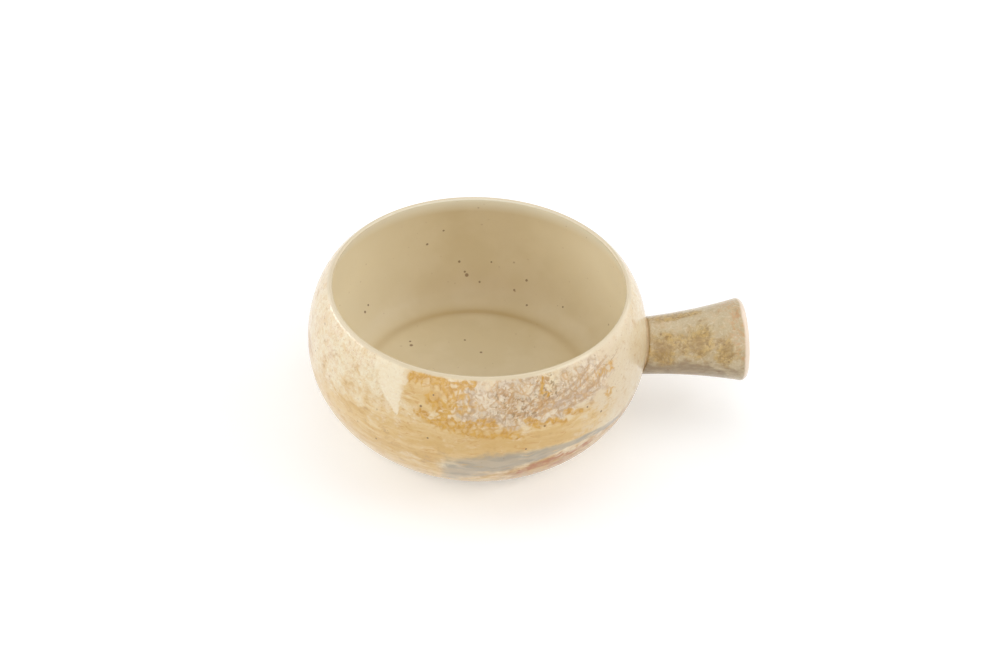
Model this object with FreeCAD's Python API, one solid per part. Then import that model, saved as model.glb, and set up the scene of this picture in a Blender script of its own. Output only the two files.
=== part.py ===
import FreeCAD, Part

import math
import os

# Lug soup bowl: a round-bellied stoneware bowl with one hollow, flared side handle.
#
# Millimetres. +Z is up. The origin is the centre of the bowl at the level of the foot's resting
# face, so the bowl's axis is the Z axis. The handle points along +X.
#
# The body is one outline turned about Z. Outside, from the table up, it is a foot ring, a round
# into the belly, an elliptical lower belly, an elliptical shoulder that leans in, and a small round
# lip. Inside it is a circular shoulder, an elliptical belly, a cove and a flat floor.

# Bowl, outside
BELLY_RADIUS = 65.0  # the widest circle
BELLY_HEIGHT = 35.0  # its height above the table
BOWL_HEIGHT = 61.4  # the crest of the lip
LOWER_ELLIPSE_DEPTH = 11.2  # the lowest point of the belly's ellipse, under the table
SHOULDER_WIDTH = 13.8  # level half axis of the shoulder's ellipse
SHOULDER_OVERSHOOT = 1.9  # the top of the shoulder's ellipse, above the crest
LIP_ROUND = 0.8  # radius of the lip's round

# Bowl, inside
BELLY_WALL = 4.5  # thickness at the widest circle
LOWER_WALL = 5.3  # upright gap between the ellipses under the widest circle
BASE_THICKNESS = 6.8  # from the recessed underside to the inside floor
COVE_ROUND = 12.0  # between the floor and the wall

# Foot
UNDERSIDE_ROUND = 7.3  # where the belly turns in towards the foot
FOOT_SHELF = 0.5  # flat ring between that round and the foot's cove
FOOT_WIDTH = 4.4  # across the ring
FOOT_HEIGHT = 2.1  # from the table to the shelf
FOOT_EDGE_ROUND = 0.8  # both edges of the resting face
FOOT_COVE = 1.2  # inside corners on both sides of the ring
RECESS_HEIGHT = 5.0  # the underside inside the ring, above the table

# Handle. Its axis starts at the belly's radius, in the XZ plane, and lengths run along it.
HANDLE_DROP = 5.4  # the start of its axis, under the widest circle
HANDLE_TILT = 4.7  # degrees, up towards the open end
HANDLE_LENGTH = 39.0  # to the far edge
HANDLE_ROOT_RADIUS = 11.0  # where the flare starts
HANDLE_FLARE = 5.1  # how much wider the far edge is, in radius
HANDLE_FLARE_INSET = 9.0  # the flare starts this far before the start of the axis
HANDLE_WALL = 4.5
HANDLE_ROOT_ROUND = 0.9  # the outer edge beside the groove at the bowl

# Luting slip between the handle and the bowl
SLIP_THICKNESS = 0.9
SLIP_SET_BACK = 0.6  # how far it stays inside the handle's outer surface

UP = FreeCAD.Vector(0, 0, 1)
ORIGIN = FreeCAD.Vector(0, 0, 0)
QUARTER = math.pi / 2
ON_SURFACE = 0.001  # a point this near a surface lies on it


def at(radius, height):
    """The point of the XZ plane that is this far from the bowl's axis and this high."""
    return FreeCAD.Vector(radius, 0, height)


class Ellipse:
    """An upright ellipse in the XZ plane, given by its centre and its two half axes."""

    def __init__(self, centre, level, upright):
        self.centre = centre
        self.level = level
        self.upright = upright

    def point(self, turn):
        """The point at this angle, from 0 at the outermost point to a quarter turn at the top."""
        return self.centre + at(self.level * math.cos(turn), self.upright * math.sin(turn))

    def inward(self, turn):
        """The unit normal at that point, towards the inside."""
        return at(-math.cos(turn) / self.level, -math.sin(turn) / self.upright).normalize()

    def arc(self, start, end):
        """The edge between two angles, the smaller one first."""
        major = 0.0 if self.level >= self.upright else QUARTER
        whole = Part.Ellipse(self.point(major), self.point(major + QUARTER), self.centre)
        ends = [whole.parameter(self.point(turn)) for turn in (start, end)]
        return Part.ArcOfEllipse(whole, ends[0], ends[1]).toShape()

    def nested_round(self, size, centre_height, low, high):
        """The round of this size inside the ellipse that touches it, its centre at this height.

        Between the two angles the centre rises with the angle, so halving the range finds it.
        Returns the angle where they touch and the round's centre.
        """
        for _ in range(60):
            turn = (low + high) / 2
            centre = self.point(turn) + self.inward(turn) * size
            if centre.z < centre_height:
                low = turn
            else:
                high = turn
        return turn, centre


def line(start, end):
    return Part.LineSegment(start, end).toShape()


def round_arc(centre, size, start, end):
    """The edge of a circle between two points on it, by the shorter way."""
    middle = centre + ((start - centre) + (end - centre)).normalize() * size
    return Part.Arc(start, middle, end).toShape()


def turned(edges, axis, centre=ORIGIN):
    """The solid swept by a closed outline in one full turn."""
    return Part.Face(Part.Wire(edges)).revolve(centre, axis, 360)


def lower_ellipse(growth=0.0):
    """The outside of the belly under its widest circle, pushed out evenly by the growth."""
    drop = BELLY_HEIGHT + LOWER_ELLIPSE_DEPTH
    return Ellipse(at(0, BELLY_HEIGHT), BELLY_RADIUS + growth, drop + growth)


def shoulder_ellipse(growth=0.0):
    """The outside above the widest circle, pushed out evenly by the growth."""
    rise = BOWL_HEIGHT - BELLY_HEIGHT + SHOULDER_OVERSHOOT
    centre = at(BELLY_RADIUS - SHOULDER_WIDTH, BELLY_HEIGHT)
    return Ellipse(centre, SHOULDER_WIDTH + growth, rise + growth)


def outer_belly_solid(growth=0.0):
    """The belly as a solid block, which trims what stands on its outer surface.

    It reaches from the foot's shelf to just under the lip, past both ends of the handle's root.
    """
    lower = lower_ellipse(growth)
    shoulder = shoulder_ellipse(growth)
    bottom = math.asin((FOOT_HEIGHT - BELLY_HEIGHT) / lower.upright)
    top = math.asin((BOWL_HEIGHT - LIP_ROUND - BELLY_HEIGHT) / shoulder.upright)
    low_point = lower.point(bottom)
    high_point = shoulder.point(top)
    edges = [
        line(at(0, low_point.z), low_point),
        lower.arc(bottom, 0.0),
        shoulder.arc(0.0, top),
        line(high_point, at(0, high_point.z)),
        line(at(0, high_point.z), at(0, low_point.z)),
    ]
    return turned(edges, UP)


def foot_outline(shelf_end):
    """The edges from the middle of the underside, round the foot ring, to the shelf's outer end."""
    cove_end = shelf_end - at(FOOT_SHELF, 0)
    outer = cove_end.x - FOOT_COVE
    inner = outer - FOOT_WIDTH
    recess_centre = at(inner - FOOT_COVE, RECESS_HEIGHT - FOOT_COVE)
    recess_end = at(recess_centre.x, RECESS_HEIGHT)
    recess_wall = at(inner, recess_centre.z)
    inner_centre = at(inner + FOOT_EDGE_ROUND, FOOT_EDGE_ROUND)
    inner_wall = at(inner, FOOT_EDGE_ROUND)
    inner_rest = at(inner_centre.x, 0)
    outer_centre = at(outer - FOOT_EDGE_ROUND, FOOT_EDGE_ROUND)
    outer_rest = at(outer_centre.x, 0)
    outer_wall = at(outer, FOOT_EDGE_ROUND)
    cove_centre = at(cove_end.x, FOOT_HEIGHT - FOOT_COVE)
    cove_start = at(outer, cove_centre.z)
    return [
        line(at(0, RECESS_HEIGHT), recess_end),
        round_arc(recess_centre, FOOT_COVE, recess_end, recess_wall),
        line(recess_wall, inner_wall),
        round_arc(inner_centre, FOOT_EDGE_ROUND, inner_wall, inner_rest),
        line(inner_rest, outer_rest),
        round_arc(outer_centre, FOOT_EDGE_ROUND, outer_rest, outer_wall),
        line(outer_wall, cove_start),
        round_arc(cove_centre, FOOT_COVE, cove_start, cove_end),
        line(cove_end, shelf_end),
    ]


def bowl_body():
    """The clay body of the bowl, foot ring included."""
    lower = lower_ellipse()
    shoulder = shoulder_ellipse()
    inner = Ellipse(lower.centre, lower.level - BELLY_WALL, lower.upright - LOWER_WALL)
    floor_height = RECESS_HEIGHT + BASE_THICKNESS

    under_turn, under_centre = lower.nested_round(
        UNDERSIDE_ROUND, FOOT_HEIGHT + UNDERSIDE_ROUND, -QUARTER, 0.0
    )
    lip_turn, lip_centre = shoulder.nested_round(LIP_ROUND, BOWL_HEIGHT - LIP_ROUND, 0.0, QUARTER)
    cove_turn, cove_centre = inner.nested_round(COVE_ROUND, floor_height + COVE_ROUND, -QUARTER, 0.0)

    # The inner shoulder is a circle centred level with the widest circle. It leaves the inner
    # belly upright and touches the lip's round from the hollow side.
    lean = inner.level - lip_centre.x
    rise = lip_centre.z - BELLY_HEIGHT
    inner_size = (lean**2 + rise**2 - LIP_ROUND**2) / (2 * (lean + LIP_ROUND))
    inner_centre = at(inner.level - inner_size, BELLY_HEIGHT)
    lip_inside = lip_centre + (inner_centre - lip_centre).normalize() * LIP_ROUND

    shelf_end = at(under_centre.x, FOOT_HEIGHT)
    floor_edge = at(cove_centre.x, floor_height)
    edges = foot_outline(shelf_end) + [
        round_arc(under_centre, UNDERSIDE_ROUND, shelf_end, lower.point(under_turn)),
        lower.arc(under_turn, 0.0),
        shoulder.arc(0.0, lip_turn),
        Part.Arc(shoulder.point(lip_turn), at(lip_centre.x, BOWL_HEIGHT), lip_inside).toShape(),
        round_arc(inner_centre, inner_size, lip_inside, inner.point(0.0)),
        inner.arc(cove_turn, 0.0),
        round_arc(cove_centre, COVE_ROUND, inner.point(cove_turn), floor_edge),
        line(floor_edge, at(0, floor_height)),
        line(at(0, floor_height), at(0, RECESS_HEIGHT)),
    ]
    return turned(edges, UP)


def handle_axis():
    """Where the handle's axis starts, its direction, and the way square to it in the XZ plane."""
    tilt = math.radians(HANDLE_TILT)
    start = at(BELLY_RADIUS, BELLY_HEIGHT - HANDLE_DROP)
    along = at(math.cos(tilt), math.sin(tilt))
    across = at(-math.sin(tilt), math.cos(tilt))
    return start, along, across


def handle_tube(set_back=0.0):
    """The handle's wall before it is trimmed to the bowl, from inside the bowl to the far edge.

    The flare is two circular arcs about one centre, so the wall is equally thick all along, and
    the far edge is a full round. Before the flare it is a straight tube. The set-back makes the
    outside smaller.
    """
    start, along, across = handle_axis()
    half_wall = HANDLE_WALL / 2
    run = HANDLE_FLARE_INSET + HANDLE_LENGTH - half_wall
    middle_arc = (run**2 + HANDLE_FLARE**2) / (2 * HANDLE_FLARE)
    flare_angle = math.asin(run / middle_arc)
    middle_start = start - along * HANDLE_FLARE_INSET + across * (HANDLE_ROOT_RADIUS - half_wall)
    flare_centre = middle_start + across * middle_arc

    def on_flare(size, angle):
        """The point of a circle about the flare's centre at this angle from the flare's start."""
        return flare_centre + (along * math.sin(angle) - across * math.cos(angle)) * size

    outer_arc = middle_arc - half_wall + set_back
    inner_arc = middle_arc + half_wall
    outer_start = on_flare(outer_arc, 0.0)
    outer_end = on_flare(outer_arc, flare_angle)
    inner_start = on_flare(inner_arc, 0.0)
    inner_end = on_flare(inner_arc, flare_angle)
    end_way = along * math.cos(flare_angle) + across * math.sin(flare_angle)
    tip = (outer_end + inner_end) / 2 + end_way * ((inner_arc - outer_arc) / 2)
    buried = along * (BELLY_RADIUS / 2)
    edges = [
        line(outer_start - buried, outer_start),
        round_arc(flare_centre, outer_arc, outer_start, outer_end),
        Part.Arc(outer_end, tip, inner_end).toShape(),
        round_arc(flare_centre, inner_arc, inner_end, inner_start),
        line(inner_start, inner_start - buried),
        line(inner_start - buried, outer_start - buried),
    ]
    return turned(edges, along, start)


def handle():
    """The hollow flared handle, its root cut to the bowl's curve and its outer root edge rounded."""
    belly = outer_belly_solid(SLIP_THICKNESS)
    trimmed = handle_tube().cut(belly).Solids[0]
    start, along, _ = handle_axis()
    middle_radius = HANDLE_ROOT_RADIUS - HANDLE_WALL / 2
    root_edges = []
    for edge in trimmed.Edges:
        middle = edge.valueAt((edge.FirstParameter + edge.LastParameter) / 2)
        outside = (middle - start).cross(along).Length > middle_radius
        if outside and belly.isInside(middle, ON_SURFACE, True):
            root_edges.append(edge)
    return trimmed.makeFillet(HANDLE_ROOT_ROUND, root_edges)


def handle_joint():
    """The ring of slip that fills the space between the bowl's wall and the handle's root."""
    coat = outer_belly_solid(SLIP_THICKNESS).cut(outer_belly_solid())
    return handle_tube(SLIP_SET_BACK).common(coat)


def main():
    os.makedirs("parts", exist_ok=True)
    for build in (bowl_body, handle, handle_joint):
        shape = build()
        name = build.__name__
        if not shape.isValid() or len(shape.Solids) != 1:
            raise ValueError(name + " is not one valid solid")
        solid = shape.Solids[0]
        solid.exportStep("parts/" + name + ".step")
        print(name, round(solid.Volume, 1), "mm3")


main()
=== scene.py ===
import math

import bpy
import numpy as np
from mathutils import Matrix, Quaternion, Vector


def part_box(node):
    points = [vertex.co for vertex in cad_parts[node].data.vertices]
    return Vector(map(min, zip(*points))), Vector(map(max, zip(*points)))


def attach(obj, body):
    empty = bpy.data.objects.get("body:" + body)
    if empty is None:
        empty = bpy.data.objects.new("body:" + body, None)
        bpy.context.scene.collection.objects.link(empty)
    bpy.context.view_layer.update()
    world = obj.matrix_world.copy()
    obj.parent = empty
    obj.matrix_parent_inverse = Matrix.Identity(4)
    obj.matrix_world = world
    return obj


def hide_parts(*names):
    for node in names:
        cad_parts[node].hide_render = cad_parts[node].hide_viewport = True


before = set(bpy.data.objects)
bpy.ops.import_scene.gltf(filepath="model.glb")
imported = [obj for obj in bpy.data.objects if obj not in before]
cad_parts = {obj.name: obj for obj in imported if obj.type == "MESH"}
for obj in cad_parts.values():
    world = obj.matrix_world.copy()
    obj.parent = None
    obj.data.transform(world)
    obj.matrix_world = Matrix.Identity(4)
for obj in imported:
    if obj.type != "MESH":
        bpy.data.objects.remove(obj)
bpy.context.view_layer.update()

# The looks of the lug soup bowl: fired clay under its glaze coats, the handle, and the dark groove
# at the handle's root. Outlines and patterns are worked out in millimetres and turned into metres
# when a mesh is made. A turn is counted round the bowl's axis in degrees, from 0 at the front
# (-Y) through 90 at the handle (+X); the back (+Y) is 180.

MM = 0.001

# ---------------------------------------------------------------- sizes, as in the construction

BELLY_RADIUS = round(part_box("bowl_body")[1].x / MM, 1)
BOWL_HEIGHT = round(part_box("bowl_body")[1].z / MM, 1)
BELLY_HEIGHT = 35.0
LOWER_UPRIGHT = BELLY_HEIGHT + 11.2  # half axes of the belly's lower ellipse
SHOULDER_WIDTH = 13.8
SHOULDER_UPRIGHT = BOWL_HEIGHT - BELLY_HEIGHT + 1.9
LIP_ROUND = 0.8
INNER_LEVEL = BELLY_RADIUS - 4.5  # half axes of the hollow's lower ellipse
INNER_UPRIGHT = LOWER_UPRIGHT - 5.3
FLOOR_HEIGHT = 11.8
COVE_ROUND = 12.0
UNDERSIDE_ROUND = 7.3
FOOT_SHELF = 0.5
FOOT_WIDTH = 4.4
FOOT_HEIGHT = 2.1
FOOT_EDGE_ROUND = 0.8
FOOT_COVE = 1.2
RECESS_HEIGHT = 5.0

HANDLE_START = np.array([BELLY_RADIUS, 0.0, BELLY_HEIGHT - 5.4])
HANDLE_TILT = math.radians(4.7)
HANDLE_LENGTH = 39.0
HANDLE_ROOT_RADIUS = 11.0
HANDLE_FLARE = 5.1
HANDLE_FLARE_INSET = 9.0
HANDLE_WALL = 4.5
HANDLE_ROOT_ROUND = 0.9
SLIP_THICKNESS = 0.9
SLIP_SET_BACK = 0.6
SLIP_RISE = 0.42  # how far the groove's outer face rises to both its sides
SLIP_OVERLAP = 0.05  # how far the slip runs into the bowl and into the handle

# Glaze
COAT = 0.35  # thickness of a glaze coat
BARE_SET_BACK = 0.14  # the bare clay of the foot's sides, under the level of the coats
NOSE = 0.5  # how far the rounded edge of a coat reaches in from its glaze line

MM_PER_DEGREE = math.radians(1) * BELLY_RADIUS  # along the widest circle

TURNS = 360  # steps round the bowl
HANDLE_TURNS = 192

# ---------------------------------------------------------------- outlines


def nested_round(centre, level, upright, size, height, low, high):
    """The round inside an ellipse that touches it, with its centre at this height.

    The round's centre is the ellipse's point at angle t, moved in by the round's size along the
    normal. It rises with t, so halving the range finds it. Returns t and the centre.
    """
    for _ in range(60):
        t = (low + high) / 2
        normal = np.array([math.cos(t) / level, math.sin(t) / upright])
        point = np.array([centre[0] + level * math.cos(t), centre[1] + upright * math.sin(t)])
        middle = point - normal / np.linalg.norm(normal) * size
        if middle[1] < height:
            low = t
        else:
            high = t
    return t, middle


def curve(centre, level, upright, start, end, facing=1):
    """Points centre + (level cos t, upright sin t) for t from start to end, with their normals.

    The normals point away from the centre, or towards it where facing is -1.
    """
    t = np.linspace(start, end, max(8, int(abs(end - start) * (level + upright) / 2 / 0.03)))
    points = np.stack([centre[0] + level * np.cos(t), centre[1] + upright * np.sin(t)], 1)
    normals = np.stack([np.cos(t) / level, np.sin(t) / upright], 1) * facing
    return points, normals / np.linalg.norm(normals, axis=1)[:, None]


def straight(start, end, normal):
    """Evenly spaced points from start to end, all with one normal."""
    share = np.linspace(0, 1, max(3, int(math.dist(start, end) / 0.03)))[:, None]
    points = np.array(start) * (1 - share) + np.array(end) * share
    return points, np.tile(np.array(normal, float), (len(points), 1))


class Outline:
    """A line of (radius, height) points with normals, read by the length walked along it."""

    def __init__(self, runs):
        points = np.concatenate([run[0] for run in runs])
        self.points = points
        self.normals = np.concatenate([run[1] for run in runs])
        self.length = np.concatenate([[0], np.cumsum(np.linalg.norm(np.diff(points, axis=0), axis=1))])
        ends = np.cumsum([len(run[0]) for run in runs]) - 1
        self.ends = self.length[ends]  # the length at the end of each run

    def at(self, length):
        """Radius, height and the two parts of the unit normal at these lengths."""
        radius, height = (np.interp(length, self.length, self.points[:, k]) for k in (0, 1))
        across, up = (np.interp(length, self.length, self.normals[:, k]) for k in (0, 1))
        size = np.hypot(across, up)
        return radius, height, across / size, up / size

    def rows(self, start, end, longest, turn_limit=8.0):
        """Lengths from start to end: at most longest apart, and closer where the normal turns.

        Each step spends the same share of the sum of its length over longest and its turn over
        turn_limit degrees.
        """
        angle = np.unwrap(np.arctan2(self.normals[:, 1], self.normals[:, 0]))
        spent = np.diff(self.length) / longest
        spent += np.minimum(np.abs(np.degrees(np.diff(angle))) / turn_limit, 3.0)
        total = np.concatenate([[0], np.cumsum(spent)])
        first, last = np.interp([start, end], self.length, total)
        steps = max(2, math.ceil(abs(last - first)))
        return np.interp(np.linspace(first, last, steps + 1), total, self.length)


def bowl_outline():
    """The clay's whole outline: floor, hollow, lip, belly, foot ring, and the recess under it."""
    quarter = math.pi / 2
    belly = (0.0, BELLY_HEIGHT)
    shoulder = (BELLY_RADIUS - SHOULDER_WIDTH, BELLY_HEIGHT)
    cove_t, cove = nested_round(
        belly, INNER_LEVEL, INNER_UPRIGHT, COVE_ROUND, FLOOR_HEIGHT + COVE_ROUND, -quarter, 0.0
    )
    under_t, under = nested_round(
        belly, BELLY_RADIUS, LOWER_UPRIGHT, UNDERSIDE_ROUND, FOOT_HEIGHT + UNDERSIDE_ROUND, -quarter, 0.0
    )
    lip_t, lip = nested_round(
        shoulder, SHOULDER_WIDTH, SHOULDER_UPRIGHT, LIP_ROUND, BOWL_HEIGHT - LIP_ROUND, 0.0, quarter
    )
    lean = INNER_LEVEL - lip[0]
    rise = lip[1] - BELLY_HEIGHT
    inner_size = (lean**2 + rise**2 - LIP_ROUND**2) / (2 * (lean + LIP_ROUND))
    inner = (INNER_LEVEL - inner_size, BELLY_HEIGHT)
    inner_t = math.atan2(lip[1] - inner[1], lip[0] - inner[0])

    def slope(point, centre):
        return math.atan2(point[1] - centre[1], point[0] - centre[0])

    def on_ellipse(level, upright, t):
        return (level * math.cos(t), BELLY_HEIGHT + upright * math.sin(t))

    cove_end = slope(on_ellipse(INNER_LEVEL, INNER_UPRIGHT, cove_t), cove)
    under_end = slope(on_ellipse(BELLY_RADIUS, LOWER_UPRIGHT, under_t), under)
    lip_start = (
        shoulder[0] + SHOULDER_WIDTH * math.cos(lip_t),
        BELLY_HEIGHT + SHOULDER_UPRIGHT * math.sin(lip_t),
    )
    shelf = under[0] - FOOT_SHELF
    outer = shelf - FOOT_COVE
    inside = outer - FOOT_WIDTH
    edge = FOOT_EDGE_ROUND
    recess = inside - FOOT_COVE
    foot_cove = FOOT_HEIGHT - FOOT_COVE
    recess_cove = RECESS_HEIGHT - FOOT_COVE
    return Outline([
        straight((0, FLOOR_HEIGHT), (cove[0], FLOOR_HEIGHT), (0, 1)),
        curve(cove, COVE_ROUND, COVE_ROUND, -quarter, cove_end, -1),
        curve(belly, INNER_LEVEL, INNER_UPRIGHT, cove_t, 0.0, -1),
        curve(inner, inner_size, inner_size, 0.0, inner_t, -1),
        curve(lip, LIP_ROUND, LIP_ROUND, inner_t + math.pi, slope(lip_start, lip)),
        curve(shoulder, SHOULDER_WIDTH, SHOULDER_UPRIGHT, lip_t, 0.0),
        curve(belly, BELLY_RADIUS, LOWER_UPRIGHT, 0.0, under_t),
        curve(under, UNDERSIDE_ROUND, UNDERSIDE_ROUND, under_end, -quarter),
        straight((under[0], FOOT_HEIGHT), (shelf, FOOT_HEIGHT), (0, -1)),
        curve((shelf, foot_cove), FOOT_COVE, FOOT_COVE, quarter, math.pi, -1),
        straight((outer, foot_cove), (outer, edge), (1, 0)),
        curve((outer - edge, edge), edge, edge, 0.0, -quarter),
        straight((outer - edge, 0), (inside + edge, 0), (0, -1)),
        curve((inside + edge, edge), edge, edge, -quarter, -math.pi),
        straight((inside, edge), (inside, recess_cove), (-1, 0)),
        curve((recess, recess_cove), FOOT_COVE, FOOT_COVE, 0.0, quarter, -1),
        straight((recess, RECESS_HEIGHT), (0, RECESS_HEIGHT), (0, -1)),
    ])


OUTLINE = bowl_outline()
LIP_INSIDE, LIP_OUTSIDE, BELLY_WIDEST = OUTLINE.ends[3:6]
UNDERSIDE_END = OUTLINE.ends[7]
FOOT_COVE_END = OUTLINE.ends[9]
REST_START, REST_END, INNER_EDGE_END = OUTLINE.ends[11:14]
OUTLINE_END = OUTLINE.ends[-1]

# The glaze stops just above the foot's resting face, outside and inside the ring.
GLAZE_LINE_OUTSIDE = FOOT_COVE_END - 0.25
GLAZE_LINE_RECESS = INNER_EDGE_END + 0.5

# The hollow's larger iron specks on its wall: turn, height, radius.
WALL_SPECKS = [
    (-178, 21.5, 1.0), (-177.2, 22.8, 0.6), (-162, 37, 0.7), (-168.5, 43, 0.6), (-175, 27, 0.7),
    (176.5, 19, 0.6), (172, 27, 0.5), (156.5, 22, 0.7), (153.5, 14, 0.6), (137, 17.6, 0.5),
    (161, 17.6, 0.6), (-131, 21, 0.6), (-128, 19.6, 0.7), (38, 30, 0.7), (-64, 24, 0.6), (84, 36, 0.6),
]
# Those on its floor: turn, distance from the axis, radius.
FLOOR_SPECKS = [
    (-131.5, 34, 0.9), (-134, 36, 0.6), (-172, 26, 0.6), (171.5, 18, 0.7), (20, 28, 0.6), (-40, 14, 0.5),
]
# And those outside: turn, height, radius.
OUTER_SPECKS = [
    (-21.2, 50.5, 0.6), (-17.5, 55.2, 0.45), (-18.2, 38.3, 0.5), (-36.8, 29, 0.5), (13, 34.1, 0.5),
    (35, 44.4, 0.5), (41, 39, 0.6), (19, 42.9, 0.5), (118, 48, 0.6), (150, 40, 0.6), (-150, 45, 0.5),
    (-120, 36, 0.5), (-72, 44, 0.4),
]


def turned(turn, radius, height):
    """The point at this turn, this far from the bowl's axis."""
    angle = math.radians(turn)
    return radius * math.sin(angle), -radius * math.cos(angle), height


def wall_spots(specks, start, end):
    """The middle and the radius of each speck, on the stretch of the outline between two lengths."""
    wall = OUTLINE.points[(OUTLINE.length >= start) & (OUTLINE.length <= end)]
    heights, radii = wall[np.argsort(wall[:, 1])].T[::-1]
    return [
        (turned(turn, float(np.interp(height, heights, radii)), height), size)
        for turn, height, size in specks
    ]


# ---------------------------------------------------------------- meshes


def ease(value, low=0.0, high=1.0):
    """0 under low, 1 over high, and the smooth step 3x^2 - 2x^3 between them."""
    x = np.clip((value - low) / (high - low), 0, 1)
    return x * x * (3 - 2 * x)


def ring_mesh(name, points, wrapped, sharp_over=50.0):
    """A closed mesh of a grid of points, rows by turns, that wraps round its turns.

    Where wrapped is true the last row joins the first one. If not, both of them are poles: each
    becomes one point with a fan of triangles. Faces point to the left of the rows' direction.
    """
    rows, turns, _ = points.shape
    here = np.arange(turns)
    beside = np.roll(here, -1)
    if wrapped:
        at = points.reshape(-1, 3)
        row = np.arange(rows)[:, None] * turns
        after = np.roll(np.arange(rows), -1)[:, None] * turns
        quads = np.stack([row + here, row + beside, after + beside, after + here], -1).reshape(-1, 4)
        fans = np.zeros((0, 3), int)
    else:
        middle = points[1:-1]
        at = np.concatenate([middle.reshape(-1, 3), points[:1, 0], points[-1:, 0]])
        row = np.arange(rows - 3)[:, None] * turns
        after = row + turns
        quads = np.stack([row + here, row + beside, after + beside, after + here], -1).reshape(-1, 4)
        first, last = len(at) - 2, len(at) - 1
        end = (rows - 3) * turns
        fans = np.concatenate([
            np.stack([np.full(turns, first), beside, here], -1),
            np.stack([np.full(turns, last), end + here, end + beside], -1),
        ])
    mesh = bpy.data.meshes.new(name)
    mesh.vertices.add(len(at))
    mesh.vertices.foreach_set("co", (at * MM).astype(np.float32).ravel())
    corners = np.concatenate([quads.ravel(), fans.ravel()]).astype(np.int32)
    sizes = np.concatenate([np.full(len(quads), 4), np.full(len(fans), 3)])
    mesh.loops.add(len(corners))
    mesh.loops.foreach_set("vertex_index", corners)
    mesh.polygons.add(len(sizes))
    mesh.polygons.foreach_set("loop_start", np.concatenate([[0], np.cumsum(sizes)[:-1]]).astype(np.int32))
    mesh.update(calc_edges=True)
    mesh.validate()
    mesh.polygons.foreach_set("use_smooth", np.ones(len(mesh.polygons), bool))
    mesh.set_sharp_from_angle(angle=math.radians(sharp_over))
    piece = bpy.data.objects.new(name, mesh)
    bpy.context.scene.collection.objects.link(piece)
    return piece


def mark(piece, name, values):
    """Gives each of the piece's points a number under this name, for its material to read."""
    found = piece.data.attributes.new(name, "FLOAT", "POINT")
    found.data.foreach_set("value", np.asarray(values, np.float32))


def mark_vectors(piece, name, values):
    """Gives each of the piece's points a vector under this name, for its material to read."""
    found = piece.data.attributes.new(name, "FLOAT_VECTOR", "POINT")
    found.data.foreach_set("vector", np.asarray(values, np.float32).ravel())


def places(piece):
    """The piece's points in millimetres, as an array."""
    at = np.zeros(len(piece.data.vertices) * 3, np.float32)
    piece.data.vertices.foreach_get("co", at)
    return at.reshape(-1, 3).astype(float) / MM


def turn_and_height(at):
    """The turn in degrees, from -180 to 180, and the height of each point."""
    return np.degrees(np.arctan2(at[:, 0], -at[:, 1])), at[:, 2]


# ---------------------------------------------------------------- the bowl's clay and its coats

ROUND = np.linspace(-math.pi, math.pi, TURNS, endpoint=False)


def waver(line):
    """How far the glaze line strays along the outline at each turn: three slow waves added up."""
    return 0.16 * np.sin(3 * ROUND + line) + 0.1 * np.sin(7 * ROUND + 2 * line) + 0.06 * np.sin(16 * ROUND)


def swept(length, depth):
    """Points of the outline at each length, pushed in by the depth, one row of turns per length."""
    radius, height, across, up = OUTLINE.at(length)
    radius = np.maximum(radius - across * depth, 0)
    height = height - up * depth + 0 * ROUND
    return np.stack([radius * np.sin(ROUND), -radius * np.cos(ROUND), height], -1)


def inside_line(length):
    """How far a length lies under a coat, past the nearer of the two glaze lines of the foot."""
    outside = GLAZE_LINE_OUTSIDE + waver(1.0) - length
    recess = length - GLAZE_LINE_RECESS - waver(2.5)
    return np.maximum(outside, recess)


def clay_depth(length):
    """How far the clay lies under the outline: a coat's thickness, less on the bare foot, 0 at rest."""
    covered = inside_line(length)
    to_rest = np.maximum(REST_START - length, length - REST_END)
    bare = BARE_SET_BACK * ease(to_rest, 0.0, 0.9)
    return bare + (COAT - bare) * ease(covered, 0.0, 1.2)


def lengths_from_line(line, wave, end, longest):
    """Row lengths of a coat that starts on a wavering glaze line and forgets the waver further in."""
    rows = OUTLINE.rows(line, end, longest)[:, None]
    away = np.abs(rows - line)
    return rows + wave * np.exp(-away / 2.0) * (1 - ease(away, 6.0, 8.0))


def coat_depth(length):
    """The coat's own outer face: on the outline, and rounded down to the clay at the glaze line."""
    share = np.clip(inside_line(length) / NOSE, 0, 1)
    return clay_depth(length) * (1 - np.sqrt(1 - (1 - share) ** 2))


def make_clay():
    """The fired clay of the bowl, under its coats, from the recess's middle to the floor's middle."""
    glazed = OUTLINE.rows(0.0, GLAZE_LINE_OUTSIDE - 1.5, 2.0, 16.0)
    foot = OUTLINE.rows(GLAZE_LINE_OUTSIDE - 1.5, GLAZE_LINE_RECESS + 1.5, 0.2)
    recess = OUTLINE.rows(GLAZE_LINE_RECESS + 1.5, OUTLINE_END, 2.0, 16.0)
    rows = np.concatenate([glazed, foot[1:], recess[1:]])[::-1, None] + 0 * ROUND
    return ring_mesh("bowl_clay", swept(rows, clay_depth(rows)), False)


def way_back(out, step):
    """Every so many of a coat's rows, from its last one back to its first."""
    back = out[::-step]
    return back if back[-1, 0] == out[0, 0] else np.concatenate([back, out[:1]])


def make_outer_coat():
    """The reactive glaze: up the outside, over the lip to its inner edge, and back along the clay."""
    out = lengths_from_line(GLAZE_LINE_OUTSIDE, waver(1.0), LIP_INSIDE, 0.9)
    back = way_back(out, 3)[:-1]
    points = np.concatenate([swept(out, coat_depth(out)), swept(back, clay_depth(back))])
    return ring_mesh("reactive_glaze_coat", points, True)


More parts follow.
